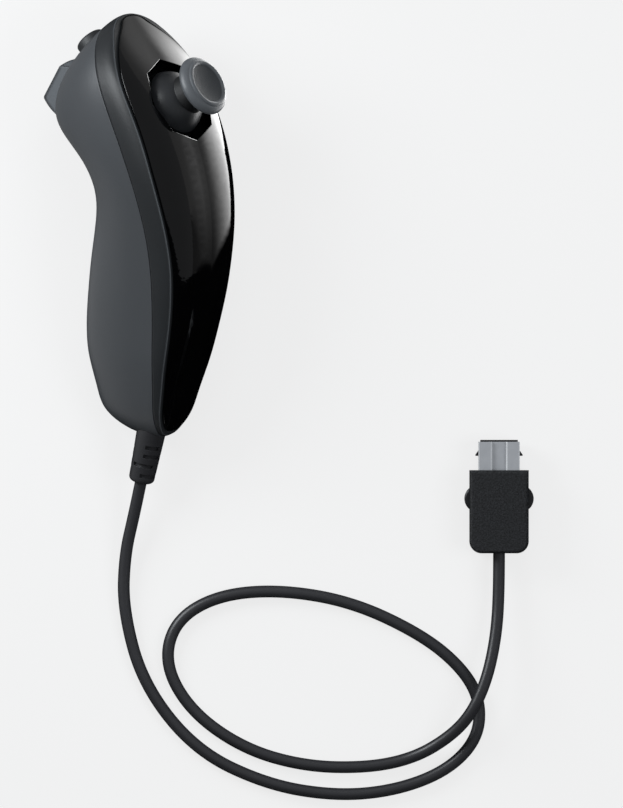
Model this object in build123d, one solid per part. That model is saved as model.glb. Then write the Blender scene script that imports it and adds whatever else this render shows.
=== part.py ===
from build123d import *
import os
from math import cos, hypot, pi, radians, sin, tan

# One-handed motion controller: a curved grip with a thumb stick, a round button and a trigger, and
# a cord that ends in a latching plug. Lengths are in millimetres and angles in degrees.
# The grip is drawn in its own frame, x forward, y from tail to head and z to the side that faces
# up once it lies on the table. Each line below holds (distance from the tail, value) pairs.

# Form of the grip
LENGTH = 113.0
TAIL_ROUND = 10.0
HEAD_ROUND = 20.0
END_POWER = 2.3
HALF_WIDTH = [(0, 6.0), (12, 9.2), (21, 11.1), (30, 12.2), (50, 14.6), (68, 17.4), (82, 18.9),
              (95, 18.6), (113, 16.0)]
FRONT_LINE = [(0, 4.9), (5, 5.4), (12, 6.9), (25, 11.0), (40, 14.5), (55, 15.7), (68, 14.4),
              (80, 11.0), (90, 6.5), (100, 0.1), (113, -10.0)]
BACK_LINE = [(0, -17.0), (6, -19.2), (12, -20.9), (24, -23.7), (36, -23.1), (50, -20.9),
             (62, -18.3), (70, -19.4), (78, -25.2), (85, -31.0), (90, -30.8), (100, -26.8),
             (113, -19.8)]
MIDDLE_LINE = [(0, -1.6), (10, 0.2), (25, 2.6), (50, 5.4), (62, 4.2), (75, 0.6), (85, -3.0),
               (100, -8.0), (113, -11.5)]
FRONT_POWER = 3.6
BACK_POWER = [(0, 2.2), (30, 2.35), (60, 2.4), (80, 2.5), (92, 2.4), (102, 2.15), (113, 2.0)]
SECTION_POINTS = 24

# Parting lines, walls and the lips that hold the three case pieces together
SEAM_LINE = [(0, 0.0), (10, 2.4), (25, 4.4), (40, 5.6), (50, 5.6), (62, 4.2), (75, 0.8),
             (85, -3.0), (95, -7.6), (104, -12.0), (113, -16.5)]
PLATE_LINE = [(0, 1.0), (5, 3.0), (12, 5.0), (18, 6.5), (25, 8.4), (32, 9.9), (40, 11.3),
              (50, 11.8), (62, 10.6), (75, 7.6), (85, 4.2), (95, -0.8), (104, -5.8), (113, -12.2)]
WALL = 2.2
INNER_WALL = 1.0
SEAM_GAP = 0.2
PLATE_GAP = 0.6
PLATE_STEP = 0.3
SKIRT_WALL = 1.0
LIP = 0.7
LIP_DEPTH = 1.6
FIT = 0.1

# How the grip lies on the table
ROLL = 36.0
PITCH = 8.0
GRIP_PLACE = (6.82, -50.154, 13.81)

# Gate and thumb stick, measured along the stick's axis from its pivot
GATE_CENTRE = (5.3, 91.4)
GATE_RADIUS = 12.1
STICK_LEAN = 28.5
PIVOT_DEPTH = 4.6
DOME_RADIUS = 9.2
DOME_WALL = 0.8
DOME_EDGE = 2.4
NECK_FOOT = (5.6, 6.8)
NECK_TOP_RADIUS = 4.3
CAP_BASE = 11.6
CAP_TOP = 15.2
CAP_RADIUS = 8.2
SHAFT_RADIUS = 1.5
SHAFT_TOP = 12.8
HUB_HALF = (1.5, 1.7, 1.3)
TAIL_RADIUS = 0.9
TAIL_END = -10.0
CROSS_PIN_RADIUS = 0.8
STUB_RADIUS = 1.0
STUB_END = 6.25
RUNNING = 0.05

# Stick housing under the pivot
RING_HALF = (4.6, 3.2, 1.2)
RING_OPENING = (3.0, 1.9)
ARCH_OUTER = 5.1
ARCH_INNER = 4.0
ARCH_HALF_WIDTH = 1.4
ARCH_SLOT = (1.05, 2.8)
TOWER_INNER = 5.3
TOWER_OUTER = 6.3
TOWER_HALF_WIDTH = 2.6
TOWER_TOP = 1.4
SENSOR_RADIUS = 1.9
SENSOR_THICK = 1.1
BOWL_RADIUS = 11.05
BOWL_TOP = -9.3
FOOT_RADIUS = 11.0
FOOT_TOP = -8.6
FOOT_WIDTH = 2.2
CLIP_TOP = -5.4
CLIP_THICK = 0.4
CLIP_RADIUS = 2.0
SPRING_WIRE = 0.16
SPRING_RADIUS = 1.5
SPRING_TURNS = 4
BASE_TOP = -12.0
BASE_THICK = 1.2
BASE_HALF = 8.2
STICK_POST_OFFSET = 11.0

# Round button and trigger on the back of the head
BUTTON_FACE = (-25.0, 105.5)
BUTTON_LEAN = 45.0
BUTTON_RADIUS = 4.2
BUTTON_GAP = 0.25
BUTTON_DEPTH = 8.0
BUTTON_TRAVEL = 1.0
BUTTON_BOARD_TOP = -10.0
BUTTON_POST_OFFSET = 8.5
TRIGGER_PIVOT = (-23.9, 96.4)
TRIGGER_REACH = 13.4
TRIGGER_TIP_ANGLE = 211.0
TRIGGER_HEEL_ANGLE = 262.0
TRIGGER_HALF_WIDTH = 6.5
TRIGGER_CROWN = (99.8, 98.2)
TRIGGER_GAP = 0.35
TRIGGER_BARREL = 1.7
TRIGGER_PIN_RADIUS = 0.95
TRIGGER_PIN_HALF = 8.7
TRIGGER_RIB = (87.6, 89.4)
TRIGGER_BEARING = ((-28.0, -21.8), (94.2, 98.6))
TRIGGER_BOARD_BACK = -18.5
TRIGGER_BOARD_Y = 89.0
TRIGGER_POST_OFFSET = 9.5

# Circuit boards, screws and posts
BOARD_BACK = 1.4
BOARD_THICK = 1.2
BOARD_OUTLINE = [(14.5, 5.2), (44.0, 10.0), (72.0, 12.3)]
BOARD_SCREWS = [(44.0, 7.4), (44.0, -7.4)]
CASE_SCREWS = [28.0, 66.0]
CASE_POST_TOP = -0.8
CASE_HEAD_SEAT = -3.2
CASE_POST_RADIUS = 3.6
CASE_SCREW_RADIUS = 1.1
CASE_HEAD_RADIUS = 2.3
PLATE_POST_RADIUS = 2.6
SMALL_BOARD_THICK = 1.0
LEG_PITCH = 1.27
SMALL_PARTS = [(20, -2.5), (20, 2.5), (35, -6), (35, 6), (50, -8), (58, -8), (58, 8), (62, 5.5)]
SCREW_HOLE = 0.85
SCREW_RADIUS = 0.8
SCREW_HEAD_RADIUS = 1.6
SCREW_HEAD_HEIGHT = 1.0
BOARD_SCREW_HOLE = 1.0

# Strain relief and cord
RELIEF_ROOT = (-4.7, 0.4)
RELIEF_LEAN = 14.0
RELIEF_LENGTH = 13.4
RELIEF_RADIUS = 3.9
RELIEF_END_RADIUS = 3.4
RELIEF_FLANGE = (-9.0, -7.6)
RELIEF_SLOT = 1.0
RELIEF_SLOT_FLOOR = 2.9
RELIEF_SLOTS = [(2.9, -22, 64), (5.4, -42, 108), (8.15, 6, 94), (11.0, -44, 108),
                (4.2, 135, 110), (6.8, 135, 110), (9.6, 135, 110)]
CORD_RADIUS = 1.6
CORD_FIRST_RUN = 9.0
CORD_ROUTE = [(-4.0, -81.6, 2.7), (-4.5, -96.1, 1.6), (0.8, -116.2, 1.6), (14.9, -134.0, 1.6),
              (34.2, -143.2, 1.6), (52.9, -146.15, 1.6), (68.9, -144.6, 1.6), (82.4, -139.3, 1.6),
              (90.4, -130.9, 1.6), (91.2, -120.9, 1.6), (86.5, -112.2, 1.6), (75.8, -103.2, 1.6),
              (56.9, -94.2, 1.6), (36.9, -90.9, 1.6), (20.3, -92.6, 1.6), (9.3, -99.5, 1.6),
              (6.6, -111.0, 1.6), (13.7, -123.6, 1.6), (27.9, -133.6, 1.6), (44.4, -138.3, 1.6),
              (61.4, -138.6, 1.6), (73.7, -135.9, 1.6), (83.1, -130.2, 4.8), (88.8, -124.0, 8.2),
              (92.8, -115.0, 8.2), (95.2, -104.1, 6.3), (96.1, -92.6, 4.75), (96.1, -81.2, 4.75)]

# Plug, drawn from the middle of its cord end on the table, y to its mouth
PLUG_PLACE = (96.1, -81.2, 0.0)
PLUG_WIDTH = 15.8
PLUG_LENGTH = 22.2
PLUG_THICK = 9.5
PLUG_WALL = 1.4
PLUG_CORNER = 3.2
PLUG_EDGE = 0.8
METAL_WIDTH = 11.0
METAL_THICK = 7.0
METAL_WALL = 0.4
METAL_CHANNEL = (4.0, 0.8)
METAL_START = 18.8
METAL_END = 29.8
INSERT_HALF_WIDTH = 2.7
MOUTH_START = 28.7
MOUTH_HALF_WIDTH = 5.0
LATCH_PIVOT = (4.6, 3.8)
LATCH_BARREL = 1.6
LATCH_HALF_THICK = 1.5
LATCH_LUG = (5.56, 14.6)
LATCH_LUG_RADIUS = 3.7
LATCH_LUG_HALF_THICK = 2.0


def value_at(line, y):
    """Smooth curve through a line of (distance, value) pairs."""
    slopes = []
    for i in range(len(line)):
        before = line[max(i - 1, 0)]
        after = line[min(i + 1, len(line) - 1)]
        slopes.append((after[1] - before[1]) / (after[0] - before[0]))
    i = 0
    while i < len(line) - 2 and y > line[i + 1][0]:
        i += 1
    (y0, v0), (y1, v1) = line[i], line[i + 1]
    span = y1 - y0
    t = min(max((y - y0) / span, 0.0), 1.0)
    start = (1 + 2 * t) * (1 - t) ** 2 * v0 + t * (1 - t) ** 2 * span * slopes[i]
    end = t * t * (3 - 2 * t) * v1 + t * t * (t - 1) * span * slopes[i + 1]
    return start + end


def end_factor(y, inset):
    """How much of its full size a section keeps towards the rounded ends."""
    if y < TAIL_ROUND + inset:
        t = (TAIL_ROUND + inset - y) / TAIL_ROUND
    elif y > LENGTH - HEAD_ROUND - inset:
        t = (y - LENGTH + HEAD_ROUND + inset) / HEAD_ROUND
    else:
        return 1.0
    return max(0.0, 1 - t ** END_POWER) ** 0.5


def section(y, side, front):
    """Closed outline across the grip, drawn in by one inset at the front and one elsewhere."""
    keep = end_factor(y, side)
    width = (value_at(HALF_WIDTH, y) - side) * keep
    middle = value_at(MIDDLE_LINE, y)
    ahead = (value_at(FRONT_LINE, y) - front - middle) * keep
    behind_middle = (middle - value_at(BACK_LINE, y) - side) * keep
    points = []
    for k in range(SECTION_POINTS):
        angle = 2 * pi * k / SECTION_POINTS
        facing = 1 if cos(angle) >= 0 else -1
        side_sign = 1 if sin(angle) >= 0 else -1
        power = FRONT_POWER if facing > 0 else value_at(BACK_POWER, y)
        reach = ahead if facing > 0 else behind_middle
        x = middle + facing * reach * abs(cos(angle)) ** (2 / power)
        z = side_sign * width * abs(sin(angle)) ** (2 / power)
        points.append((x, y, z))
    return make_face(Spline(*points, periodic=True))


def stations(inset):
    """Distances of the sections, closer together towards the ends."""
    tail = [inset + TAIL_ROUND * (1 - cos(pi / 2 * k / 5)) for k in range(1, 5)]
    middle = [12.0, 16.5] + [21.0 + 9.0 * k for k in range(8)]
    head = [LENGTH - inset - HEAD_ROUND * (1 - cos(pi / 2 * k / 7)) for k in range(1, 7)]
    return sorted([inset + 0.02, *tail, *middle, *head, LENGTH - inset - 0.03])


def grip_solid(side, front=None):
    """The grip's smooth form, drawn in."""
    if front is None:
        front = side
    return loft([section(y, side, front) for y in stations(side)])


def behind(line, offset):
    """Everything behind a parting line, across the whole grip."""
    distances = (0, 6, 14, 24, 36, 48, 60, 72, 84, 96, 106, LENGTH)
    inside = [(value_at(line, y) + offset, y) for y in distances]
    low_y = -10.0
    high_y = LENGTH + 10.0
    (x0, y0), (x1, y1) = inside[:2]
    (x2, y2), (x3, y3) = inside[-2:]
    low = (x0 + (x0 - x1) / (y0 - y1) * (low_y - y0), low_y)
    high = (x3 + (x3 - x2) / (y3 - y2) * (high_y - y3), high_y)
    far = -60.0
    edge = [Line(low, inside[0]), Spline(*inside), Line(inside[-1], high)]
    rest = [Line(high, (far, high_y)), Line((far, high_y), (far, low_y)), Line((far, low_y), low)]
    return Pos(0, 0, -40) * extrude(make_face([*edge, *rest]), amount=80)


def rod(radius, start, end):
    """Round bar along z."""
    return Pos(0, 0, (start + end) / 2) * Cylinder(radius, abs(end - start))


def block(x, y, z):
    """Box between the given pairs of limits."""
    size = (x[1] - x[0], y[1] - y[0], z[1] - z[0])
    return Pos((x[0] + x[1]) / 2, (y[0] + y[1]) / 2, (z[0] + z[1]) / 2) * Box(*size)


def along_x(shape):
    return Rot(0, 90, 0) * shape


def along_y(shape):
    return Rot(-90, 0, 0) * shape


def at_forward(y, z, shape):
    """Stands a piece that is drawn along z forward, at this place in the grip."""
    return Pos(0, y, z) * forward_frame * shape


def screw(head_radius, head_height, shank_radius, shank_length):
    """Pan head on top of z = 0 with a plain slot, and the shank below."""
    head = rod(head_radius, 0, head_height)
    head = fillet(head.edges().sort_by(Axis.Z)[-1], head_height / 3)
    slot = block((-head_radius, head_radius), (-0.25, 0.25), (head_height - 0.45, head_height))
    return head + rod(shank_radius, -shank_length, 0.1) - slot


# Frames of the stick, the round button, the strain relief and what stands forward
stick_axis = (cos(radians(STICK_LEAN)), sin(radians(STICK_LEAN)), 0)
pivot = (GATE_CENTRE[0] - PIVOT_DEPTH * stick_axis[0], GATE_CENTRE[1] - PIVOT_DEPTH * stick_axis[1], 0)
stick_frame = Plane(origin=pivot, x_dir=(0, 0, 1), z_dir=stick_axis).location
button_axis = (-cos(radians(BUTTON_LEAN)), sin(radians(BUTTON_LEAN)), 0)
button_frame = Plane(origin=(*BUTTON_FACE, 0), x_dir=(0, 0, 1), z_dir=button_axis).location
relief_axis = (-sin(radians(RELIEF_LEAN)), -cos(radians(RELIEF_LEAN)), 0)
table_up = (sin(radians(ROLL)) * cos(radians(PITCH)), sin(radians(PITCH)),
            cos(radians(ROLL)) * cos(radians(PITCH)))
relief_frame = Plane(origin=(*RELIEF_ROOT, 0), x_dir=table_up, z_dir=relief_axis).location
forward_frame = Plane(origin=(0, 0, 0), x_dir=(0, 0, 1), z_dir=(1, 0, 0)).location
grip_place = Pos(*GRIP_PLACE) * Rot(PITCH, 0, 0) * Rot(0, -ROLL, 0)
plug_place = Pos(*PLUG_PLACE)

# Sizes that follow from the driving ones
band_inset = WALL + FIT + LIP
base_bottom = BASE_TOP - BASE_THICK
board_front = BOARD_BACK + BOARD_THICK
plug_middle = PLUG_THICK / 2
far = 40.0


def trigger_point(radius, angle):
    x, y = TRIGGER_PIVOT
    return x + radius * cos(radians(angle)), y + radius * sin(radians(angle))


def trigger_crown(extra):
    """Everything below the trigger's arched top edge, which is highest in its middle."""
    top, side = (height + extra for height in TRIGGER_CROWN)
    half = TRIGGER_HALF_WIDTH + extra
    arch = ThreePointArc((-half, side), (0, top), (half, side))
    down = Polyline((half, side), (half, 0), (-half, 0), (-half, side))
    face = make_face([arch, *down.edges()])
    return Rot(0, -90, 0) * extrude(face, amount=far)


def trigger_window():
    """Opening that follows the trigger's swing and its arched top."""
    reach = TRIGGER_REACH + TRIGGER_GAP
    start, half, end = (trigger_point(reach, angle) for angle in (200, 230, TRIGGER_HEEL_ANGLE))
    inner = -17.0
    top = TRIGGER_CROWN[0] + 1
    corners = [end, (inner, end[1]), (inner, top), (-far, top), (-far, start[1]), start]
    face = make_face([ThreePointArc(start, half, end), *Polyline(*corners).edges()])
    half_width = TRIGGER_HALF_WIDTH + TRIGGER_GAP
    window = Pos(0, 0, -half_width) * extrude(face, amount=2 * half_width, dir=(0, 0, 1))
    return window & trigger_crown(TRIGGER_GAP)


def at_trigger_board(side, shape):
    """Stands a piece forward at one of the trigger board's two screws."""
    return at_forward(TRIGGER_BOARD_Y, side * TRIGGER_POST_OFFSET, shape)


def posts_in_rear_shell():
    """Posts for the boards, the stick housing, the case screws and the trigger's pin."""
    posts = [at_forward(y, 0, rod(CASE_POST_RADIUS, -far, BOARD_BACK)) for y in CASE_SCREWS]
    posts += [at_forward(y, z, rod(2.0, -far, BOARD_BACK)) for y, z in BOARD_SCREWS]
    bearing_end = TRIGGER_PIN_HALF + 0.6
    for side in (-1, 1):
        stick_post = rod(2.1, -far, base_bottom)
        posts.append(stick_frame * Pos(side * STICK_POST_OFFSET, 0, 0) * stick_post)
        posts.append(at_trigger_board(side, rod(1.8, -far, TRIGGER_BOARD_BACK)))
        button_post = rod(1.8, BUTTON_BOARD_TOP, 20)
        posts.append(button_frame * Pos(side * BUTTON_POST_OFFSET, 0, 0) * button_post)
        z_range = sorted((side * (TRIGGER_HALF_WIDTH + TRIGGER_GAP), side * bearing_end))
        posts.append(block(*TRIGGER_BEARING, z_range))
    sleeve = relief_frame * rod(RELIEF_RADIUS + 1.4, RELIEF_FLANGE[1], 0)
    posts.append(sleeve & behind(SEAM_LINE, -SEAM_GAP / 2))
    return posts


def holes_in_rear_shell():
    """Screw bores, the button's hole, the trigger's window and the strain relief's hole."""
    holes = []
    for y in CASE_SCREWS:
        holes.append(at_forward(y, 0, rod(CASE_SCREW_RADIUS + 0.2, -far, far)))
        holes.append(at_forward(y, 0, rod(CASE_HEAD_RADIUS + 0.2, -far, CASE_HEAD_SEAT)))
        holes.append(at_forward(y, 0, rod(PLATE_POST_RADIUS + FIT, CASE_POST_TOP, far)))
    for y, z in BOARD_SCREWS:
        holes.append(at_forward(y, z, rod(SCREW_HOLE, BOARD_BACK - 5, far)))
    for side in (-1, 1):
        stick_hole = rod(SCREW_HOLE, base_bottom - 5, base_bottom)
        holes.append(stick_frame * Pos(side * STICK_POST_OFFSET, 0, 0) * stick_hole)
        board_hole = rod(SCREW_HOLE, TRIGGER_BOARD_BACK - 4, TRIGGER_BOARD_BACK)
        holes.append(at_trigger_board(side, board_hole))
        button_hole = rod(SCREW_HOLE, BUTTON_BOARD_TOP, BUTTON_BOARD_TOP + 3)
        holes.append(button_frame * Pos(side * BUTTON_POST_OFFSET, 0, 0) * button_hole)
    holes.append(button_frame * rod(BUTTON_RADIUS + BUTTON_GAP, -9, 5))
    holes.append(trigger_window())
    holes.append(Pos(*TRIGGER_PIVOT, 0) * rod(TRIGGER_PIN_RADIUS, -TRIGGER_PIN_HALF, TRIGGER_PIN_HALF))
    holes.append(relief_frame * rod(RELIEF_RADIUS, -9, 5))
    return holes


def rear_shell(outer, cavity, middle_of_wall):
    body = (outer & behind(SEAM_LINE, -SEAM_GAP / 2)) - cavity
    for post in posts_in_rear_shell():
        body += post & middle_of_wall
    for hole in holes_in_rear_shell():
        body -= hole
    return body


def middle_band(outer, lip_outer, band_cavity):
    """Ring between the rear shell and the face plate, with a lip inside the rear shell."""
    ring = (outer & behind(PLATE_LINE, 0)) - behind(SEAM_LINE, SEAM_GAP / 2)
    lip = (lip_outer & behind(SEAM_LINE, 0.8)) - behind(SEAM_LINE, -LIP_DEPTH)
    relief_room = relief_frame * rod(RELIEF_RADIUS + 1.5, -10, 5)
    return ring + (lip - relief_room) - band_cavity


def face_plate(plate_outer, skirt_outer, plate_cavity):
    """Glossy front with the eight-sided gate, two screw posts and a skirt inside the band."""
    plate = plate_outer - behind(PLATE_LINE, PLATE_GAP)
    skirt = skirt_outer & behind(PLATE_LINE, PLATE_GAP + 0.4)
    plate += skirt - behind(PLATE_LINE, -LIP_DEPTH)
    plate -= plate_cavity
    plate -= stick_frame * Pos(0, 0, -2) * extrude(RegularPolygon(GATE_RADIUS, 8), amount=20)
    for y in CASE_SCREWS:
        inside_front = value_at(FRONT_LINE, y) - INNER_WALL
        plate += at_forward(y, 0, rod(PLATE_POST_RADIUS, CASE_POST_TOP, inside_front))
        plate -= at_forward(y, 0, rod(CASE_SCREW_RADIUS, CASE_POST_TOP - 1, 8.0))
    return plate


def main_board():
    right = [(-half, y) for y, half in BOARD_OUTLINE]
    outline = right + [(half, y) for y, half in reversed(BOARD_OUTLINE)]
    face = make_face(Polyline(*outline, close=True))
    face = fillet(face.vertices(), 1.0)
    board = Rot(0, 90, 0) * extrude(face, amount=BOARD_THICK)
    board = Pos(BOARD_BACK, 0, 0) * board
    for y in CASE_SCREWS:
        board -= at_forward(y, 0, rod(PLATE_POST_RADIUS + 0.3, 0, 5))
    for y, z in BOARD_SCREWS:
        board -= at_forward(y, z, rod(BOARD_SCREW_HOLE, 0, 5))
    return board


def chip(y, z, half, height):
    """Square chip on the front of the main board, with a row of legs along two sides."""
    thickness = (board_front + 0.15, board_front + height)
    body = block(thickness, (y - half, y + half), (z - half, z + half))
    leg_end = half + 0.6
    for k in range(int(2 * half / LEG_PITCH)):
        leg_y = y - half + (k + 0.75) * LEG_PITCH
        if leg_y < y + half - 0.3:
            leg = (leg_y - 0.2, leg_y + 0.2)
            body += block((board_front, board_front + 0.45), leg, (z - leg_end, z + leg_end))
    return body


def small_parts():
    """Capacitors and resistors soldered to the front of the main board."""
    height = (board_front, board_front + 0.9)
    return [block(height, (y - 1.0, y + 1.0), (z - 0.6, z + 0.6)) for y, z in SMALL_PARTS]


def lead_socket():
    """Socket for the cord's leads on the back of the main board."""
    socket = block((BOARD_BACK - 4.6, BOARD_BACK), (17.0, 21.0), (-3.5, 3.5))
    return socket - block((BOARD_BACK - 4.2, BOARD_BACK - 1.6), (16.5, 20.0), (-2.8, 2.8))


def cord_leads():
    """Inner leads from the strain relief to the socket."""
    start = (relief_frame * Pos(0, 0, RELIEF_FLANGE[0])).position
    bend = (relief_frame * Pos(0, 0, RELIEF_FLANGE[0] - 4.2)).position
    end = Vector(bend.X, 18.5, 0)
    path = FilletPolyline(start, bend, end, radius=6.0)
    return sweep(path.location_at(0) * Circle(1.0), path=path)


def strain_relief():
    """Tapered sleeve with staggered slots, and a flange inside the case."""
    root = Pos(0, 0, -0.5) * Circle(RELIEF_RADIUS)
    sleeve = loft([root, Pos(0, 0, RELIEF_LENGTH) * Circle(RELIEF_END_RADIUS)])
    sleeve = fillet(sleeve.edges().sort_by(Axis.Z)[-1], 1.3)
    sleeve += rod(RELIEF_RADIUS, RELIEF_FLANGE[1] - 0.1, -0.4)
    sleeve += rod(RELIEF_RADIUS + 1.3, *RELIEF_FLANGE)
    from_apex = (Align.NONE, Align.NONE, Align.CENTER)
    for place, middle, spread in RELIEF_SLOTS:
        wedge = Cylinder(6, RELIEF_SLOT, arc_size=spread, align=from_apex)
        wedge -= Cylinder(RELIEF_SLOT_FLOOR, RELIEF_SLOT)
        sleeve -= Pos(0, 0, place) * Rot(0, 0, middle - spread / 2) * wedge
    return sleeve


def stick_base():
    """Housing of the stick: floor with a bowl, four towers and two ears on the posts."""
    base = block((-BASE_HALF, BASE_HALF), (-BASE_HALF, BASE_HALF), (base_bottom, BASE_TOP))
    base += block((-13.2, 13.2), (-2.2, 2.2), (base_bottom, BASE_TOP))
    bowl_half = TOWER_INNER
    base += block((-bowl_half, bowl_half), (-bowl_half, bowl_half), (BASE_TOP, BOWL_TOP))
    base -= Sphere(BOWL_RADIUS)
    for side in (-1, 1):
        near, away = sorted((side * TOWER_INNER, side * TOWER_OUTER))
        width = (-TOWER_HALF_WIDTH, TOWER_HALF_WIDTH)
        base += block((near, away), width, (BASE_TOP, TOWER_TOP))
        base += block(width, (near, away), (BASE_TOP, TOWER_TOP))
        base -= Pos(side * STICK_POST_OFFSET, 0, 0) * rod(1.0, base_bottom - 1, BASE_TOP + 1)
    bore = rod(STUB_RADIUS + RUNNING, -TOWER_OUTER - 1, TOWER_OUTER + 1)
    return base - along_x(bore) - along_y(bore)


def stick_sensor():
    """Turning sensor on the outside of a tower, with three legs down to the floor."""
    sensor = rod(SENSOR_RADIUS, TOWER_OUTER, TOWER_OUTER + SENSOR_THICK)
    leg_depth = (TOWER_OUTER + 0.1, TOWER_OUTER + 0.4)
    for middle in (-1.2, 0, 1.2):
        sensor += block((0, -BASE_TOP), (middle - 0.2, middle + 0.2), leg_depth)
    return along_x(sensor)


def rocker_ring():
    """Ring that tilts about the housing's first axis and carries the stick's cross pin."""
    ring = block(*((-half, half) for half in RING_HALF))
    ring -= block((-RING_OPENING[0], RING_OPENING[0]), (-RING_OPENING[1], RING_OPENING[1]), (-2, 2))
    for side in (-1, 1):
        ring += along_x(rod(STUB_RADIUS, side * (RING_HALF[0] - 0.2), side * STUB_END))
    return ring - along_y(rod(CROSS_PIN_RADIUS, -4, 4))


def rocker_arch():
    """Arch that tilts about the second axis, moved by the stick's tail in its slot."""
    band = along_x(rod(ARCH_OUTER, -ARCH_HALF_WIDTH, ARCH_HALF_WIDTH))
    band -= along_x(rod(ARCH_INNER, -2, 2))
    band -= block((-2, 2), (-6, 6), (ARCH_HALF_WIDTH, 6))
    band -= block((-ARCH_SLOT[0], ARCH_SLOT[0]), (-ARCH_SLOT[1], ARCH_SLOT[1]), (-6, 0))
    for side in (-1, 1):
        band += along_y(rod(STUB_RADIUS, side * (ARCH_INNER + 0.3), side * STUB_END))
    return band


def stick_shaft():
    """Shaft with a hub that turns on the cross pin, and a thin tail into the foot."""
    shaft = block(*((-half, half) for half in HUB_HALF))
    shaft += chamfer(rod(SHAFT_RADIUS, 0, SHAFT_TOP).edges().sort_by(Axis.Z)[-1], 0.3)
    shaft += rod(TAIL_RADIUS, TAIL_END, 0)
    return shaft - along_y(rod(CROSS_PIN_RADIUS + RUNNING, -4, 4))


def stick_dome():
    """Dust cover that fills the gate at every tilt."""
    shell = Sphere(DOME_RADIUS) - Sphere(DOME_RADIUS - DOME_WALL)
    shell &= rod(DOME_RADIUS + 1, DOME_EDGE, DOME_RADIUS + 1)
    return shell - rod(SHAFT_RADIUS + RUNNING, 0, 10)


def stick_cap():
    """Thumb cap with a raised ring and a dished top, on a tapered neck."""
    dish_edge = (CAP_RADIUS - 2.8, CAP_TOP - 0.45)
    ring_edge = (CAP_RADIUS - 1.4, CAP_TOP - 0.55)
    widest = (CAP_RADIUS, CAP_TOP - 2.4)
    underside = (CAP_RADIUS - 1.4, CAP_BASE)
    dish_middle = (0, CAP_TOP - 1.25)
    neck_top = (NECK_TOP_RADIUS, CAP_BASE)
    profile = [
        ThreePointArc(dish_middle, (3.0, CAP_TOP - 1.02), dish_edge),
        ThreePointArc(dish_edge, (CAP_RADIUS - 2.1, CAP_TOP), ring_edge),
        ThreePointArc(ring_edge, (CAP_RADIUS - 0.4, CAP_TOP - 1.25), widest),
        ThreePointArc(widest, (CAP_RADIUS - 0.4, CAP_TOP - 3.25), underside),
        *Polyline(underside, neck_top, NECK_FOOT, (0, NECK_FOOT[1]), dish_middle).edges(),
    ]
    cap = revolve(Rot(90, 0, 0) * make_face(profile), Axis.Z)
    return cap - Sphere(DOME_RADIUS) - rod(SHAFT_RADIUS + RUNNING, 0, SHAFT_TOP + 0.1)


def spring_clip():
    """Washer that holds the spring's upper end on the tail."""
    return rod(CLIP_RADIUS, CLIP_TOP - CLIP_THICK, CLIP_TOP) - rod(TAIL_RADIUS, -7, -5)


def stick_spring():
    """Coil on the tail between the clip and the foot."""
    start = FOOT_TOP + SPRING_WIRE
    height = CLIP_TOP - CLIP_THICK - SPRING_WIRE - start
    path = Pos(0, 0, start) * Helix(height / SPRING_TURNS, height, SPRING_RADIUS)
    return sweep(path.location_at(0) * Circle(SPRING_WIRE), path=path, is_frenet=True)


def spring_foot():
    """Foot with a round sole that rides in the housing's bowl."""
    foot = rod(FOOT_WIDTH, -12, FOOT_TOP) & Sphere(FOOT_RADIUS)
    return foot - rod(TAIL_RADIUS, TAIL_END - 0.1, 0)


def round_button():
    """Domed button with two tabs behind the wall, and a flat that clears the trigger's barrel."""
    shoulder = (BUTTON_RADIUS - 0.8, -0.1)
    rim = (BUTTON_RADIUS, -0.9)
    profile = [
        ThreePointArc((0, 0.3), (BUTTON_RADIUS / 2, 0.2), shoulder),
        ThreePointArc(shoulder, (BUTTON_RADIUS - 0.22, -0.35), rim),
        *Polyline(rim, (BUTTON_RADIUS, -BUTTON_DEPTH), (0, -BUTTON_DEPTH), (0, 0.3)).edges(),
    ]
    button = revolve(Rot(90, 0, 0) * make_face(profile), Axis.Z)
    button += block((-5.3, 5.3), (-1.4, 1.4), (-BUTTON_DEPTH, -BUTTON_DEPTH + 1.1))
    return button - block((-6, 6), (-5, -3.5), (-9, -4.2))


def button_pad():
    """Rubber foot that closes the contact on the board below."""
    stroke = BUTTON_TRAVEL + 0.05
    return rod(2.6, BUTTON_BOARD_TOP + stroke, -BUTTON_DEPTH)


def button_board():
    thickness = (BUTTON_BOARD_TOP - SMALL_BOARD_THICK, BUTTON_BOARD_TOP)
    board = block((-10.6, 10.6), (-4.4, 4.4), thickness)
    board = fillet(board.edges().filter_by(Axis.Z), 1.0)
    for side in (-1, 1):
        board -= Pos(side * BUTTON_POST_OFFSET, 0, 0) * rod(BOARD_SCREW_HOLE, -12, -9)
    return board


def upright_edge_nearest(body, point):
    """The edge along z that stands nearest to a point of the outline."""
    edges = body.edges().filter_by(Axis.Z)
    return edges.sort_by(lambda edge: hypot(edge.center().X - point[0], edge.center().Y - point[1]))[0]


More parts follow.
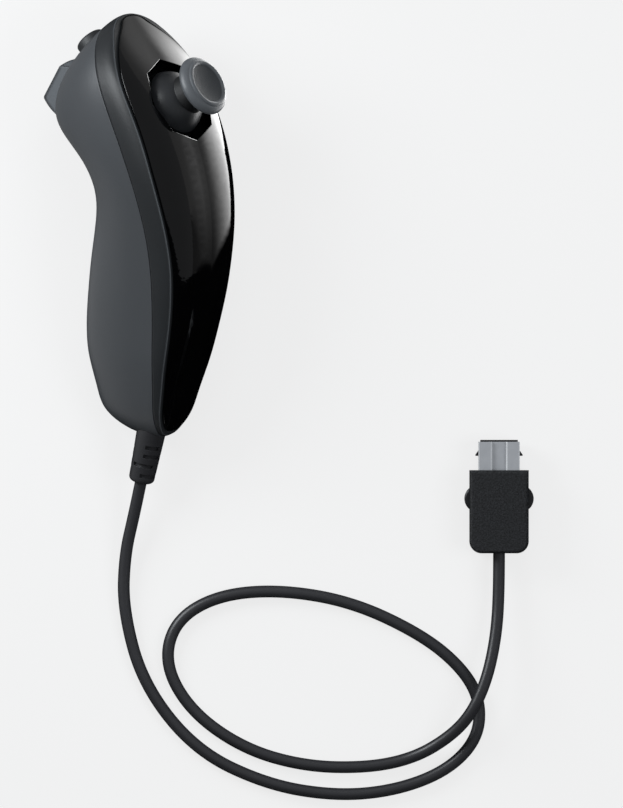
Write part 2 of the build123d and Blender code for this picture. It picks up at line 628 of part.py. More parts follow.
def trigger():
    """Curved trigger on a cross pin, hollow behind, with a rib that presses the contact."""
    tip = trigger_point(TRIGGER_REACH, TRIGGER_TIP_ANGLE)
    sole = trigger_point(TRIGGER_REACH, 238)
    heel = trigger_point(TRIGGER_REACH, TRIGGER_HEEL_ANGLE)
    shoulder = (-29.0, 99.9)
    outline = Polyline(heel, (-24.3, 84.2), (-22.5, 94.5), (-22.7, 96.2), (-24.2, 97.5),
                       (-26.6, 99.9), shoulder, tip)
    face = make_face([ThreePointArc(tip, sole, heel), *outline.edges()])
    width = 2 * TRIGGER_HALF_WIDTH
    body = Pos(0, 0, -TRIGGER_HALF_WIDTH) * extrude(face, amount=width, dir=(0, 0, 1))
    body = fillet(upright_edge_nearest(body, shoulder), 1.8)
    body = fillet(upright_edge_nearest(body, tip), 0.9)
    body &= trigger_crown(0)
    hollow = Polyline((-32.4, 90.2), (-29.0, 96.2), (-26.2, 96.2), (-25.6, 94.0), (-21.0, 94.0),
                      (-21.0, 86.4), (-26.0, 85.6), (-31.4, 88.2), close=True)
    body -= Pos(0, 0, -4.9) * extrude(make_face(hollow), amount=9.8, dir=(0, 0, 1))
    body += block((-30.0, -22.0), TRIGGER_RIB, (-1.5, 1.5))
    body += block((-30.0, -26.0), (85.5, 97.0), (-0.6, 0.6))
    body += Pos(*TRIGGER_PIVOT, 0) * rod(TRIGGER_BARREL, -TRIGGER_HALF_WIDTH, TRIGGER_HALF_WIDTH)
    body += block((-25.6, -24.2), (82.5, 84.8), (-3.0, 3.0))
    return body - Pos(*TRIGGER_PIVOT, 0) * rod(TRIGGER_PIN_RADIUS + RUNNING, -7, 7)


def trigger_pad():
    """Rubber tip on the trigger's rib."""
    return block((-22.0, -20.8), TRIGGER_RIB, (-1.5, 1.5))


def trigger_board():
    thickness = (TRIGGER_BOARD_BACK, TRIGGER_BOARD_BACK + SMALL_BOARD_THICK)
    board = block(thickness, (85.2, 92.4), (-11.6, 11.6))
    board = fillet(board.edges().filter_by(Axis.X), 1.0)
    for side in (-1, 1):
        board -= at_trigger_board(side, rod(BOARD_SCREW_HOLE, -20, -16))
    return board


def cord():
    """Tube on straight runs joined by arcs as large as their runs allow."""
    relief_end = grip_place * relief_frame * Pos(0, 0, RELIEF_LENGTH)
    leaving = relief_end * Pos(0, 0, CORD_FIRST_RUN)
    points = [relief_end.position, leaving.position] + [Vector(*point) for point in CORD_ROUTE]
    radii = []
    for before, corner, after in zip(points, points[1:], points[2:]):
        turn = (corner - before).get_angle(after - corner)
        shorter = min((corner - before).length, (after - corner).length)
        radii.append(0.45 * shorter / tan(radians(turn) / 2))
    path = FilletPolyline(*points, radius=radii)
    tube = sweep(path.location_at(0) * Circle(CORD_RADIUS), path=path)
    print("cord length", round(path.length, 1), "smallest radius", round(min(radii), 1))
    print("cord radii", [round(radius) for radius in radii])
    section_times_length = pi * CORD_RADIUS ** 2 * path.length
    print("cord volume against section times length", round(tube.volume / section_times_length, 4))
    return tube


def plug_block():
    """Outer form of the plug's housing."""
    face = Pos(0, PLUG_LENGTH / 2) * Rectangle(PLUG_WIDTH, PLUG_LENGTH)
    face = fillet(face.vertices().group_by(Axis.Y)[0], PLUG_CORNER)
    form = extrude(face, amount=PLUG_THICK)
    form = fillet(form.edges().group_by(Axis.Z)[0], PLUG_EDGE)
    return fillet(form.edges().group_by(Axis.Z)[-1], PLUG_EDGE)


def metal_outline(inset):
    """Outline across the metal shell, with the channel along its top."""
    half_width = METAL_WIDTH / 2 - inset
    low = plug_middle - METAL_THICK / 2 + inset
    high = plug_middle + METAL_THICK / 2 - inset
    channel_half = METAL_CHANNEL[0] / 2 + inset
    channel_floor = high - METAL_CHANNEL[1]
    right = [(half_width, low), (half_width, high), (channel_half, high), (channel_half, channel_floor)]
    left = [(-x, z) for x, z in reversed(right)]
    return make_face(Polyline(*right, *left, close=True))


def metal_form(inset, start, end):
    solid = extrude(metal_outline(inset), amount=end - start)
    return Pos(0, end, 0) * Rot(90, 0, 0) * solid


def plug_metal_shell():
    """Square metal mouth with a slot on each side for the latch hooks."""
    shell = metal_form(0, METAL_START, METAL_END)
    shell -= metal_form(METAL_WALL, METAL_START - 1, METAL_END + 1)
    shell -= block((-8, 8), (25.4, 28.4), (plug_middle - 1.75, plug_middle + 1.75))
    return shell


def plug_covers():
    """Back and front halves of the housing, with bosses for the latch pins and ribs on the insert."""
    form = plug_block()
    inner_half = PLUG_WIDTH / 2 - PLUG_WALL
    depth = (PLUG_WALL, PLUG_THICK - PLUG_WALL)
    room = block((-inner_half, inner_half), (PLUG_WALL, PLUG_LENGTH - PLUG_WALL), depth)
    form -= fillet(room.edges().filter_by(Axis.Z), 1.0)
    form += block((-2.5, 2.5), (5, 17), (1, 2.2)) + block((-2.5, 2.5), (5, 17), (6.9, PLUG_THICK - 1))
    for side in (-1, 1):
        boss = rod(LATCH_BARREL, 1, PLUG_THICK - 1) - rod(LATCH_BARREL + 1, 3.1, PLUG_THICK - 3.1)
        form += Pos(side * LATCH_PIVOT[0], LATCH_PIVOT[1], 0) * boss
        form -= Pos(side * LATCH_PIVOT[0], LATCH_PIVOT[1], 0) * rod(0.8, 1.8, PLUG_THICK - 1.8)
        window = rod(LATCH_LUG_RADIUS + 0.25, plug_middle - 2.25, plug_middle + 2.25)
        form -= Pos(side * LATCH_LUG[0], LATCH_LUG[1], 0) * window
    form -= metal_form(0, METAL_START, METAL_END)
    low = block((-20, 20), (-5, 40), (-1, plug_middle))
    return form & low, form - low


def plug_insert():
    """Inner tongue that carries the contacts, with a wider mouth that has a pocket at each side."""
    thickness = (2.2, 6.9)
    front = METAL_END + 0.5
    insert = block((-INSERT_HALF_WIDTH, INSERT_HALF_WIDTH), (5.0, front), thickness)
    insert += block((-MOUTH_HALF_WIDTH, MOUTH_HALF_WIDTH), (MOUTH_START, front), thickness)
    for side in (-1, 1):
        insert -= block(sorted((side * 3.3, side * 4.4)), (MOUTH_START - 1, front + 1), (2.9, 6.2))
    return insert


def plug_contacts():
    """Three contact strips on each face of the tongue."""
    strips = []
    for x in (-1.7, 0, 1.7):
        for low in (2.05, 6.9):
            strips.append(block((x - 0.4, x + 0.4), (20.0, METAL_END), (low, low + 0.13)))
    return strips


def right_latch():
    """Lever with a pressing lug halfway and a hook at the mouth."""
    arm = Polyline((4.4, 3.8), (5.6, 3.8), (5.6, 17.4), (4.8, 18.4), (4.8, 26.0), (6.3, 26.05),
                   (6.3, 26.4), (5.3, 27.8), (4.8, 28.0), (4.0, 28.0), (4.0, 17.8), (4.4, 17.2),
                   close=True)
    lever = extrude(make_face(arm), amount=2 * LATCH_HALF_THICK)
    lug = rod(LATCH_LUG_RADIUS, 0, 2 * LATCH_LUG_HALF_THICK)
    lug = Pos(*LATCH_LUG, 0) * fillet(lug.edges(), 0.5)
    lug &= block((4.6, 12), (0, 30), (-1, 6))
    lever = Pos(0, 0, plug_middle - LATCH_HALF_THICK) * lever
    lever += Pos(0, 0, plug_middle - LATCH_LUG_HALF_THICK) * lug
    barrel = rod(LATCH_BARREL, plug_middle - LATCH_HALF_THICK, plug_middle + LATCH_HALF_THICK)
    lever += Pos(*LATCH_PIVOT, 0) * barrel
    return lever - Pos(*LATCH_PIVOT, 0) * rod(0.8 + RUNNING, 0, PLUG_THICK)


def case_nodes():
    outer = grip_solid(0)
    band_cavity = grip_solid(band_inset, 0)
    skirt_inset = band_inset + FIT
    skirt_outer = grip_solid(skirt_inset, 0)
    plate_cavity = grip_solid(skirt_inset + SKIRT_WALL, WALL)
    return {
        "rear_shell": rear_shell(outer, grip_solid(WALL), grip_solid(INNER_WALL)),
        "middle_band": middle_band(outer, grip_solid(WALL + FIT), band_cavity),
        "face_plate": face_plate(grip_solid(PLATE_STEP, 0), skirt_outer, plate_cavity),
    }


def electronics_nodes():
    return {
        "main_board": main_board(),
        "trigger_board": trigger_board(),
        "button_board": button_frame * button_board(),
        "controller_chip": chip(36.0, 0.0, 3.0, 1.4),
        "accelerometer_chip": chip(52.0, 2.0, 2.0, 1.2),
        "board_components": Compound(small_parts()),
        "lead_socket": lead_socket(),
        "cord_leads": cord_leads(),
    }


def screw_nodes():
    screws = {}
    for number, y in enumerate(CASE_SCREWS, 1):
        case_screw = Rot(180, 0, 0) * screw(CASE_HEAD_RADIUS, 1.8, CASE_SCREW_RADIUS, 10.0)
        screws[f"case_screw_{number}"] = at_forward(y, 0, Pos(0, 0, CASE_HEAD_SEAT) * case_screw)
    small = screw(SCREW_HEAD_RADIUS, SCREW_HEAD_HEIGHT, SCREW_RADIUS, 4.0)
    short = Rot(180, 0, 0) * screw(SCREW_HEAD_RADIUS, SCREW_HEAD_HEIGHT, SCREW_RADIUS, 3.0)
    for number, (y, z) in enumerate(BOARD_SCREWS, 1):
        screws[f"board_screw_{number}"] = at_forward(y, z, Pos(0, 0, board_front) * small)
    on_trigger_board = Pos(0, 0, TRIGGER_BOARD_BACK + SMALL_BOARD_THICK) * small
    for number, side in enumerate((1, -1), 1):
        stick_place = stick_frame * Pos(side * STICK_POST_OFFSET, 0, BASE_TOP)
        screws[f"stick_screw_{number}"] = stick_place * small
        screws[f"trigger_board_screw_{number}"] = at_trigger_board(side, on_trigger_board)
        under_board = Pos(side * BUTTON_POST_OFFSET, 0, BUTTON_BOARD_TOP - SMALL_BOARD_THICK)
        screws[f"button_board_screw_{number}"] = button_frame * under_board * short
    return screws


def stick_nodes():
    pieces = {
        "stick_base": stick_base(),
        "stick_sensor_1": stick_sensor(),
        "stick_sensor_2": Rot(0, 0, -90) * stick_sensor(),
        "rocker_ring": rocker_ring(),
        "cross_pin": along_y(rod(CROSS_PIN_RADIUS, -RING_HALF[1], RING_HALF[1])),
        "rocker_arch": rocker_arch(),
        "stick_shaft": stick_shaft(),
        "stick_dome": stick_dome(),
        "stick_cap": stick_cap(),
        "spring_clip": spring_clip(),
        "stick_spring": stick_spring(),
        "spring_foot": spring_foot(),
    }
    return {name: stick_frame * piece for name, piece in pieces.items()}


def control_nodes():
    trigger_pin = rod(TRIGGER_PIN_RADIUS, -TRIGGER_PIN_HALF, TRIGGER_PIN_HALF)
    return {
        "c_button": button_frame * round_button(),
        "c_button_pad": button_frame * button_pad(),
        "z_trigger": trigger(),
        "z_trigger_pad": trigger_pad(),
        "z_trigger_pin": Pos(*TRIGGER_PIVOT, 0) * trigger_pin,
    }


def plug_nodes():
    back, front = plug_covers()
    latch = right_latch()
    pin = rod(0.8, 1.8, PLUG_THICK - 1.8)
    return {
        "plug_back_cover": back,
        "plug_front_cover": front,
        "plug_metal_shell": plug_metal_shell(),
        "plug_insert": plug_insert(),
        "plug_contacts": Compound(plug_contacts()),
        "right_latch": latch,
        "left_latch": mirror(latch, about=Plane.YZ),
        "right_latch_pin": Pos(*LATCH_PIVOT, 0) * pin,
        "left_latch_pin": Pos(-LATCH_PIVOT[0], LATCH_PIVOT[1], 0) * pin,
    }


grip_nodes = {**case_nodes(), **electronics_nodes(), **screw_nodes()}
grip_nodes.update({**stick_nodes(), **control_nodes()})
grip_nodes["cord_strain_relief"] = relief_frame * strain_relief()
nodes = {name: grip_place * piece for name, piece in grip_nodes.items()}
nodes.update({name: plug_place * piece for name, piece in plug_nodes().items()})
nodes["cord"] = cord()

os.makedirs("parts", exist_ok=True)
for name, piece in nodes.items():
    export_step(piece, f"parts/{name}.step")
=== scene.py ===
"""Looks of a one-handed motion game controller that lies on a table with its cord and plug."""
import bpy
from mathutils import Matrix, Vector


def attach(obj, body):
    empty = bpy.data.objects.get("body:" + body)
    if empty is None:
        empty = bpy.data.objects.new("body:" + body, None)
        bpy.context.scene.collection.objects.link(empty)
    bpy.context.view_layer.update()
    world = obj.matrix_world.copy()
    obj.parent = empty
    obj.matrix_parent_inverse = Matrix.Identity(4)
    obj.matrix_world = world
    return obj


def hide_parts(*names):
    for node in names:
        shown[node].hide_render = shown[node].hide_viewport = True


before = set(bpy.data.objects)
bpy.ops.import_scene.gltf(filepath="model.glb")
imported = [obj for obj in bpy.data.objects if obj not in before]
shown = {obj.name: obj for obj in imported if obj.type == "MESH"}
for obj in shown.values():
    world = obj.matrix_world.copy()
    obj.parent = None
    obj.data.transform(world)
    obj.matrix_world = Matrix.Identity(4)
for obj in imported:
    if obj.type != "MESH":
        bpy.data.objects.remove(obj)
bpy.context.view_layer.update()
bpy.context.scene.view_settings.view_transform = "Standard"


# Camera. It looks straight down on the table through a long lens, with the tip of the
# grip towards the bottom of the picture and the plug at its right.
camera_height = 5.0
mid_height = 0.018
picture_height = 0.21547
film_height = 36
camera_data = bpy.data.cameras.new("camera")
camera_data.sensor_fit = "VERTICAL"
camera_data.sensor_height = film_height
camera_data.lens = film_height * (camera_height - mid_height) / picture_height
camera = bpy.data.objects.new("camera", camera_data)
camera.location = (0.04596, -0.0413, camera_height)
bpy.context.scene.collection.objects.link(camera)
bpy.context.scene.camera = camera


# Cord. A thin round lead with a soft black vinyl jacket, moulded into the strain relief at
# the tip of the grip. It lies on the table in one loose loop and rises over itself once.
class Wire:
    """An output socket of a material: arithmetic on it adds Math nodes."""

    def __init__(self, socket):
        self.socket = socket
        self.tree = socket.id_data

    def fill(self, target, value):
        """Links a Wire to a socket, or sets the socket to a plain value."""
        if isinstance(value, Wire):
            self.tree.links.new(value.socket, target)
        elif hasattr(target.default_value, "__len__") and len(target.default_value) == 4:
            target.default_value = (*value[:3], 1)
        else:
            target.default_value = value

    def node(self, kind, settings, inputs, output=0):
        """Any other node: its settings come first, then the values or links of its sockets."""
        made = self.tree.nodes.new(kind)
        for name, value in settings.items():
            if name == "stops":
                ramp = made.color_ramp
                while len(ramp.elements) < len(value):
                    ramp.elements.new(0.5)
                for element, (position, level) in zip(ramp.elements, value):
                    element.position = position
                    element.color = (level, level, level, 1)
            else:
                setattr(made, name, value)
        for name, value in inputs.items():
            self.fill(made.inputs[name], value)
        return Wire(made.outputs[output])

    def math(self, operation, first, second=0.0):
        return self.node("ShaderNodeMath", {"operation": operation}, {0: first, 1: second})

    def __add__(self, other):
        return self.math("ADD", self, other)

    def __radd__(self, other):
        return self.math("ADD", other, self)

    def __sub__(self, other):
        return self.math("SUBTRACT", self, other)

    def __rsub__(self, other):
        return self.math("SUBTRACT", other, self)

    def __mul__(self, other):
        return self.math("MULTIPLY", self, other)

    def __rmul__(self, other):
        return self.math("MULTIPLY", other, self)

    def at_least(self, other):
        return self.math("MAXIMUM", self, other)

    def at_most(self, other):
        return self.math("MINIMUM", self, other)

    def noise(self, scale, detail=2.0):
        inputs = {"Vector": self, "Scale": scale, "Detail": detail}
        return self.node("ShaderNodeTexNoise", {}, inputs)

    def ramp(self, *stops):
        return self.node("ShaderNodeValToRGB", {"stops": stops}, {"Fac": self})

    def mix(self, one, other):
        """A colour between one, where this is 0, and other, where it is 1."""
        settings = {"data_type": "RGBA", "clamp_factor": True}
        return self.node("ShaderNodeMix", settings, {0: self, 6: one, 7: other}, 2)

    def soft(self):
        """A smooth step that rises while this goes from 0 to 1."""
        settings = {"interpolation_type": "SMOOTHSTEP"}
        return self.node("ShaderNodeMapRange", settings, {"Value": self})

    def ray(self, kind):
        """1 where the table or a board is seen by this kind of ray."""
        path = self.tree.nodes.new("ShaderNodeLightPath")
        return Wire(path.outputs[kind])

    def axes(self):
        """The x, y and z of a place or a normal."""
        parts = self.tree.nodes.new("ShaderNodeSeparateXYZ")
        self.fill(parts.inputs[0], self)
        return [Wire(output) for output in parts.outputs]


def new_finish(name, **constants):
    """A material, its shader, and the place of a point of the object as a Wire."""
    material = bpy.data.materials.new(name)
    material.use_nodes = True
    shader = material.node_tree.nodes["Principled BSDF"]
    for socket, value in constants.items():
        shader.inputs[socket.replace("_", " ")].default_value = value
    place = Wire(material.node_tree.nodes.new("ShaderNodeTexCoord").outputs["Object"])
    return material, shader, place


def rounded(place, radius):
    """The surface's normal with its sharp edges rounded to a radius."""
    edge_samples = 6
    return place.node("ShaderNodeBevel", {"samples": edge_samples}, {"Radius": radius})


def grain(place, height, depth, edge=0.0):
    """A Bump from a height between 0 and 1; edge is the radius of softly broken edges."""
    inputs = {"Height": height, "Strength": 1.0, "Distance": depth}
    if edge:
        inputs["Normal"] = rounded(place, edge)
    return place.node("ShaderNodeBump", {}, inputs)


cord_width = 0.0032
cord_route = [
    (0.000395, -0.061984, 0.007434), (-0.001366, -0.070453, 0.004951),
    (-0.0040, -0.0816, 0.0027), (-0.0045, -0.0961, 0.0016), (0.0008, -0.1162, 0.0016),
    (0.0149, -0.1340, 0.0016), (0.0342, -0.1432, 0.0016), (0.0529, -0.1462, 0.0016),
    (0.0689, -0.1446, 0.0016), (0.0824, -0.1393, 0.0016), (0.0904, -0.1309, 0.0016),
    (0.0912, -0.1209, 0.0016), (0.0865, -0.1122, 0.0016), (0.0758, -0.1032, 0.0016),
    (0.0569, -0.0942, 0.0016), (0.0369, -0.0909, 0.0016), (0.0203, -0.0926, 0.0016),
    (0.0093, -0.0995, 0.0016), (0.0066, -0.1110, 0.0016), (0.0137, -0.1236, 0.0016),
    (0.0279, -0.1336, 0.0016), (0.0444, -0.1383, 0.0016), (0.0614, -0.1386, 0.0016),
    (0.0737, -0.1359, 0.0016), (0.0831, -0.1302, 0.0048), (0.0888, -0.1240, 0.0082),
    (0.0928, -0.1150, 0.0082), (0.0952, -0.1041, 0.0063), (0.0961, -0.0926, 0.00475),
    (0.0961, -0.0812, 0.00475),
]
line = bpy.data.curves.new("lead", "CURVE")
line.dimensions = "3D"
spline = line.splines.new("NURBS")
spline.points.add(len(cord_route) - 1)
for point, spot in zip(spline.points, cord_route):
    point.co = (*spot, 1)
spline.order_u = 3
spline.use_endpoint_u = True
spline.resolution_u = 12
line.bevel_depth = cord_width / 2
line.bevel_resolution = 5
line.use_fill_caps = True
lead = bpy.data.objects.new("lead", line)
bpy.context.scene.collection.objects.link(lead)

cord_vinyl, shader, place = new_finish("black_vinyl")
streaks = place.noise(900, 3)
drift = place.noise(60)
place.fill(shader.inputs["Base Color"], drift.mix((0.020, 0.020, 0.022), (0.028, 0.028, 0.031)))
place.fill(shader.inputs["Roughness"], 0.34 + 0.10 * streaks)
place.fill(shader.inputs["Normal"], grain(place, streaks, 0.00002))
line.materials.append(cord_vinyl)
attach(lead, "controller")
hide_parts("cord")


# Strain relief. A tapered sleeve of black rubber moulded over the cord, with staggered
# slots that let it bend. Its flange is held between the two halves of the case.
def dress(material, *names):
    """Puts a material on CAD nodes."""
    for name in names:
        shown[name].data.materials.clear()
        shown[name].data.materials.append(material)


relief_rubber, shader, place = new_finish("relief_rubber")
mottle = place.noise(2500, 3)
drift = place.noise(150)
place.fill(shader.inputs["Base Color"], drift.mix((0.014, 0.014, 0.016), (0.022, 0.022, 0.024)))
place.fill(shader.inputs["Roughness"], 0.42 + 0.14 * mottle)
place.fill(shader.inputs["Normal"], grain(place, mottle, 0.00003, 0.00025))
dress(relief_rubber, "cord_strain_relief")


# Rear shell. The half of the case that fills the palm, injection moulded in dark grey
# plastic with a very fine satin texture. Two screws hold it to the face plate's posts.
case_plastic, shader, place = new_finish("case_plastic")
spark = place.noise(6000, 2)
drift = place.noise(45, 1)
place.fill(shader.inputs["Base Color"], drift.mix((0.037, 0.040, 0.044), (0.045, 0.049, 0.054)))
place.fill(shader.inputs["Roughness"], 0.36 + 0.10 * spark)
place.fill(shader.inputs["Normal"], grain(place, spark, 0.000012, 0.0003))
dress(case_plastic, "rear_shell")


# Middle band. A ring of the same plastic between the shell and the face plate, polished
# a little smoother, with a rounded front edge beside a narrow dark groove.
def edge_turn(place, radius):
    """How far the surface turns to the right over an edge with this radius, below 0 to the left."""
    turned = rounded(place, radius)
    plain = place.node("ShaderNodeNewGeometry", {}, {}, 1)
    return turned.axes()[0] - plain.axes()[0]


band_plastic, shader, place = new_finish("band_plastic", Specular_IOR_Level=0.32)
spark = place.noise(6000, 2)
drift = place.noise(60, 1)
# Painted highlight: the base colour turns light grey along the rounded front edge, standing in for
# the light it catches.
painted_edge_highlight = (edge_turn(place, 0.0008) * 4).soft()
body_tone = drift.mix((0.013, 0.0142, 0.0155), (0.016, 0.0175, 0.019))
place.fill(shader.inputs["Base Color"], painted_edge_highlight.mix(body_tone, (0.075, 0.081, 0.087)))
place.fill(shader.inputs["Roughness"], 0.38 + 0.08 * spark)
place.fill(shader.inputs["Normal"], grain(place, spark, 0.000008, 0.0006))
dress(band_plastic, "middle_band")


# Face plate. A curved plate in black plastic, moulded in a mirror-finished tool, with the
# stick's eight-sided opening. It stands on two posts above the inner edge of the band.
plate_plastic, shader, place = new_finish("gloss_black_plastic")
wave = place.noise(160, 1)
hair = place.noise(3000, 4)
plate_black = wave.mix((0.0006, 0.0006, 0.0007), (0.0012, 0.0012, 0.0014))
place.fill(shader.inputs["Base Color"], plate_black)
place.fill(shader.inputs["Roughness"], 0.045 + 0.03 * hair)
place.fill(shader.inputs["Normal"], grain(place, wave, 0.000006, 0.00025))
dress(plate_plastic, "face_plate")


# Thumb stick. A plastic shaft carries a dished cap and a loose dome that hides the
# opening. The cap is pressed on; its top is finely stippled so that a thumb holds.
cap_plastic, shader, place = new_finish("stick_plastic")
stick_pivot = (0.00784, 0.03808, 0.02696)
stick_axis = (0.711, 0.401, 0.578)
neck_top = 0.01137
dish_radius = 0.00529
stipple = place.noise(4200, 2)
tone = place.noise(220)
x, y, z = [along - start for along, start in zip(place.axes(), stick_pivot)]
height = x * stick_axis[0] + y * stick_axis[1] + z * stick_axis[2]
above_neck = ((height - neck_top) * 4000).soft()
outside_dish = ((x * x + y * y + z * z - height * height - dish_radius ** 2) * 500000).soft()
# Painted shade and highlight: the neck under the cap is near black and the dish darker, as shade,
# and the rim lighter, as its highlight.
neck = tone.mix((0.002, 0.0022, 0.0025), (0.004, 0.0045, 0.005))
rim = tone.mix((0.068, 0.073, 0.079), (0.082, 0.088, 0.095))
dish = tone.mix((0.026, 0.028, 0.031), (0.032, 0.035, 0.038))
place.fill(shader.inputs["Base Color"], above_neck.mix(neck, outside_dish.mix(dish, rim)))
place.fill(shader.inputs["Roughness"], 0.60 - 0.22 * outside_dish + 0.12 * stipple)
place.fill(shader.inputs["Normal"], grain(place, stipple, 0.00003, 0.0002))
dress(cap_plastic, "stick_cap")

neck_plastic, shader, place = new_finish("neck_plastic")
spark = place.noise(5000, 2)
tone = place.noise(200)
place.fill(shader.inputs["Base Color"], tone.mix((0.012, 0.013, 0.014), (0.018, 0.019, 0.021)))
place.fill(shader.inputs["Roughness"], 0.40 + 0.10 * spark)
place.fill(shader.inputs["Normal"], grain(place, spark, 0.00001, 0.0002))
dress(neck_plastic, "stick_shaft")

dome_plastic, shader, place = new_finish("dome_plastic")
spark = place.noise(5000, 2)
tone = place.noise(200)
place.fill(shader.inputs["Base Color"], tone.mix((0.011, 0.012, 0.013), (0.017, 0.018, 0.020)))
place.fill(shader.inputs["Roughness"], 0.34 + 0.08 * spark)
place.fill(shader.inputs["Normal"], grain(place, spark, 0.00001, 0.0001))
dress(dome_plastic, "stick_dome")


# Buttons. The round button and the trigger under it are moulded in the case's grey; each
# carries a soft pad on its back that meets the board behind it.
button_plastic, shader, place = new_finish("button_plastic")
spark = place.noise(6000, 2)
tone = place.noise(200)
place.fill(shader.inputs["Base Color"], tone.mix((0.010, 0.011, 0.012), (0.015, 0.016, 0.0175)))
place.fill(shader.inputs["Roughness"], 0.50 + 0.08 * spark)
place.fill(shader.inputs["Normal"], grain(place, spark, 0.000006, 0.0003))
dress(button_plastic, "c_button")

trigger_plastic, shader, place = new_finish("trigger_plastic")
spark = place.noise(6000, 2)
# Painted shade: the base colour turns near black along the trigger's rounded left edge, which faces
# away from the light.
painted_edge_shade = (edge_turn(place, 0.0016) * -5).soft()
body_tone = place.noise(200).mix((0.072, 0.078, 0.086), (0.084, 0.092, 0.100))
place.fill(shader.inputs["Base Color"], painted_edge_shade.mix(body_tone, (0.012, 0.013, 0.015)))
place.fill(shader.inputs["Roughness"], 0.34 + 0.10 * spark)
place.fill(shader.inputs["Normal"], grain(place, spark, 0.00001, 0.0003))
dress(trigger_plastic, "z_trigger")


# Plug. Two black covers with a spark-eroded texture meet round a pressed steel shell, and
# a latch on each side is squeezed to let go of the socket.
plug_plastic, shader, place = new_finish("plug_plastic")
pits = place.noise(3600, 4)
speckle = place.noise(2200, 3).ramp((0.40, 0.0), (0.62, 1.0))
place.fill(shader.inputs["Base Color"], speckle.mix((0.004, 0.0044, 0.005), (0.015, 0.016, 0.018)))
place.fill(shader.inputs["Roughness"], 0.52 + 0.20 * pits)
place.fill(shader.inputs["Normal"], grain(place, pits, 0.00014, 0.0003))
dress(plug_plastic, "plug_back_cover", "plug_front_cover")

latch_plastic, shader, place = new_finish("latch_plastic")
spark = place.noise(5000, 2)
tone = place.noise(300)
place.fill(shader.inputs["Base Color"], tone.mix((0.009, 0.009, 0.010), (0.014, 0.014, 0.015)))
place.fill(shader.inputs["Roughness"], 0.30 + 0.10 * spark)
place.fill(shader.inputs["Normal"], grain(place, spark, 0.00001, 0.0002))
dress(latch_plastic, "right_latch", "left_latch")

shell_steel, shader, place = new_finish("shell_steel", Metallic=0.35)
brushed = place.noise(2600, 3)
# Painted highlight: the base colour turns near white along the steps of the shell's channel,
# standing in for the light they catch.
turn = edge_turn(place, 0.0004)
painted_step_highlight = (turn * -6).soft() + 0.5 * (turn * 6).soft()
body_tone = place.noise(400).mix((0.38, 0.39, 0.41), (0.46, 0.47, 0.49))
place.fill(shader.inputs["Base Color"], painted_step_highlight.mix(body_tone, (0.92, 0.93, 0.94)))
place.fill(shader.inputs["Roughness"], 0.26 + 0.12 * brushed)
place.fill(shader.inputs["Normal"], grain(place, brushed, 0.000006, 0.0002))
dress(shell_steel, "plug_metal_shell")

insert_plastic, shader, place = new_finish("insert_plastic")
spark = place.noise(3000, 2)
tone = place.noise(300)
place.fill(shader.inputs["Base Color"], tone.mix((0.008, 0.008, 0.009), (0.014, 0.014, 0.015)))
place.fill(shader.inputs["Roughness"], 0.45 + 0.1 * spark)
place.fill(shader.inputs["Normal"], grain(place, spark, 0.00001))
dress(insert_plastic, "plug_insert")

contact_gold, shader, place = new_finish("contact_gold", Metallic=1.0)
spark = place.noise(3000, 2)
place.fill(shader.inputs["Base Color"], spark.mix((0.80, 0.58, 0.24), (0.90, 0.68, 0.32)))
place.fill(shader.inputs["Roughness"], 0.18 + 0.1 * spark)
dress(contact_gold, "plug_contacts")


# Inner parts. Glass fibre boards with their chips, a white socket for the leads, steel
# pins, screws and spring, and the stick's mechanism in black acetal.
board_resin, shader, place = new_finish("board_resin")
weave = place.noise(1500, 2)
threads = weave.ramp((0.45, 0.0), (0.55, 1.0))
place.fill(shader.inputs["Base Color"], threads.mix((0.008, 0.07, 0.03), (0.015, 0.12, 0.05)))
place.fill(shader.inputs["Roughness"], 0.30 + 0.1 * weave)
place.fill(shader.inputs["Normal"], grain(place, weave, 0.00002))
dress(board_resin, "main_board", "trigger_board", "button_board")

chip_epoxy, shader, place = new_finish("chip_epoxy")
spark = place.noise(4000, 3)
place.fill(shader.inputs["Base Color"], spark.mix((0.010, 0.010, 0.011), (0.022, 0.022, 0.023)))
place.fill(shader.inputs["Roughness"], 0.5 + 0.1 * spark)
place.fill(shader.inputs["Normal"], grain(place, spark, 0.00001))
dress(chip_epoxy, "controller_chip", "accelerometer_chip", "board_components")

socket_nylon, shader, place = new_finish("socket_nylon")
spark = place.noise(1500, 2)
place.fill(shader.inputs["Base Color"], spark.mix((0.66, 0.64, 0.58), (0.74, 0.72, 0.66)))
place.fill(shader.inputs["Roughness"], 0.4 + 0.1 * spark)
dress(socket_nylon, "lead_socket", "cord_leads")

fastener_steel, shader, place = new_finish("fastener_steel", Metallic=1.0)
spark = place.noise(2500, 2)
place.fill(shader.inputs["Base Color"], spark.mix((0.50, 0.50, 0.50), (0.62, 0.62, 0.61)))
place.fill(shader.inputs["Roughness"], 0.25 + 0.15 * spark)
dress(
    fastener_steel, "case_screw_1", "case_screw_2", "board_screw_1", "board_screw_2",
    "stick_screw_1", "stick_screw_2", "trigger_board_screw_1", "trigger_board_screw_2",
    "button_board_screw_1", "button_board_screw_2", "cross_pin", "stick_spring", "spring_clip",
    "z_trigger_pin", "right_latch_pin", "left_latch_pin",
)

mechanism_acetal, shader, place = new_finish("mechanism_acetal")
spark = place.noise(3000, 2)
place.fill(shader.inputs["Base Color"], spark.mix((0.012, 0.012, 0.013), (0.022, 0.022, 0.023)))
place.fill(shader.inputs["Roughness"], 0.35 + 0.1 * spark)
dress(
    mechanism_acetal, "stick_base", "stick_sensor_1", "stick_sensor_2", "rocker_ring",
    "rocker_arch", "spring_foot",
)

pad_rubber, shader, place = new_finish("pad_rubber")
spark = place.noise(3000, 2)
place.fill(shader.inputs["Base Color"], spark.mix((0.10, 0.10, 0.10), (0.14, 0.14, 0.14)))
place.fill(shader.inputs["Roughness"], 0.6 + 0.1 * spark)
dress(pad_rubber, "c_button_pad", "z_trigger_pad")


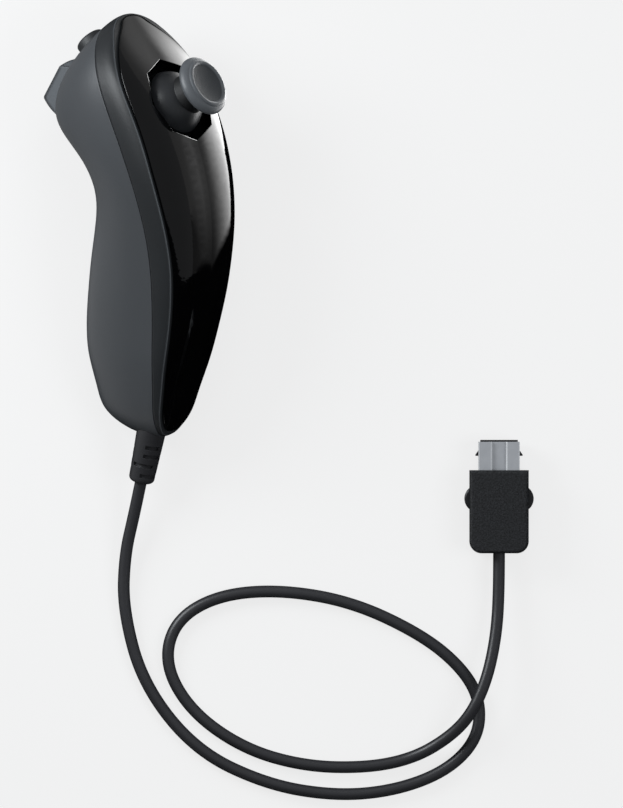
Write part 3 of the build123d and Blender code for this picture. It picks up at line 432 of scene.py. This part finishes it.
# Table. A pale matt top that keeps a faint shadow. Only reflections see it dark, with a
# bright patch at the right of the grip's head, as under a soft window.
bpy.ops.mesh.primitive_plane_add(size=8, location=(0, 0, 0))
table = bpy.context.object
table.name = "table"
table_top, shader, place = new_finish("table_top", Roughness=0.9)
shader.inputs["Specular IOR Level"].default_value = 0.0
place.fill(shader.inputs["Base Color"], place.noise(3).mix((0.80, 0.80, 0.80), (0.81, 0.81, 0.81)))
x, y, z = place.axes()
# Left edge of the patch, which leans over the grip's head, and its end beside the middle.
lean = 0.3 * (y - 0.012).at_least(0.0) + 2 * (y - 0.032).at_least(0.0)
past_side = ((x - 0.053 + lean) * 500).soft() * ((x - 0.010) * 45).soft()
reach = x - 0.048
past_end = ((y - 0.010 + (0.48 * reach).at_most(0.30 * reach + 0.014)) * 120 + 0.5).soft()
# Brightness in the patch, highest beside the grip, and a dim glow at the grip's left.
growth = ((y + 0.03) * 13).soft()
fading = 1 - ((y - 0.05) * 22).soft() * 0.96
nearness = place.math("EXPONENT", (0.050 - x) * 36).at_most(1.1)
patch = past_side * past_end * (0.12 + growth * (0.25 + 8.0 * nearness * fading))
left_glow = ((-0.02 - x) * 300).soft() * (0.22 + 0.30 * ((0.015 - y) * 40).soft())
table_white = (0.90, 0.90, 0.90)
kept_shadow = 0.15
to_glossy = place.ray("Is Glossy Ray")
seen = (place.ray("Is Camera Ray") + place.ray("Is Transmission Ray")) * (1 - kept_shadow)
shown_colour = to_glossy.mix(table_white, patch + left_glow)
glow = place.node("ShaderNodeEmission", {}, {"Color": shown_colour})
tree = table_top.node_tree
both = tree.nodes.new("ShaderNodeMixShader")
place.fill(both.inputs[0], seen + to_glossy)
tree.links.new(shader.outputs[0], both.inputs[1])
tree.links.new(glow.socket, both.inputs[2])
tree.links.new(both.outputs[0], tree.nodes["Material Output"].inputs[0])
table.data.materials.append(table_top)


# Flag. A black board that stands before the grip's tip and that only reflections see, so
# that the lower half of the face plate stays black. Its top edge slopes down to the right.
upright = 1.5708
flag_slope = 0.564
bpy.ops.mesh.primitive_plane_add(
    size=4, location=(-0.469, -0.6, -0.748), rotation=(upright, flag_slope, 0),
)
flag = bpy.context.object
flag.name = "flag"
flag_cloth, shader, place = new_finish("flag_cloth", Roughness=1.0)
shader.inputs["Specular IOR Level"].default_value = 0.0
place.fill(shader.inputs["Base Color"], place.noise(40).mix((0.0, 0.0, 0.0), (0.001, 0.001, 0.001)))
flag.data.materials.append(flag_cloth)
flag.visible_camera = False
flag.visible_diffuse = False
flag.visible_shadow = False
flag.visible_transmission = False


# Light. A dim even surround, a large soft lamp at the upper left that gives the shell its
# sheen, and one beyond the head and one at the right that reflections don't show.
world = bpy.data.worlds.new("surround")
world.use_nodes = True
sky = world.node_tree.nodes["Background"]
sky.inputs["Color"].default_value = (0.95, 0.97, 1, 1)
sky.inputs["Strength"].default_value = 0.25
bpy.context.scene.world = world

lamps = [
    ("lamp_left", (-0.26, 0.15, 0.22), 0.20, 1.5, True),
    ("lamp_beyond", (0.10, 0.55, 0.50), 0.40, 1.6, False),
    ("lamp_right", (0.45, -0.10, 0.50), 0.30, 1.6, False),
]
for name, stand, width, power, mirrored in lamps:
    lamp_data = bpy.data.lights.new(name, "AREA")
    lamp_data.size = width
    lamp_data.energy = power
    lamp_data.color = (0.93, 0.97, 1.0)
    lamp = bpy.data.objects.new(name, lamp_data)
    lamp.location = stand
    lamp.rotation_euler = (-Vector(stand)).to_track_quat("-Z", "Y").to_euler()
    lamp.visible_camera = False
    lamp.visible_glossy = mirrored
    bpy.context.scene.collection.objects.link(lamp)
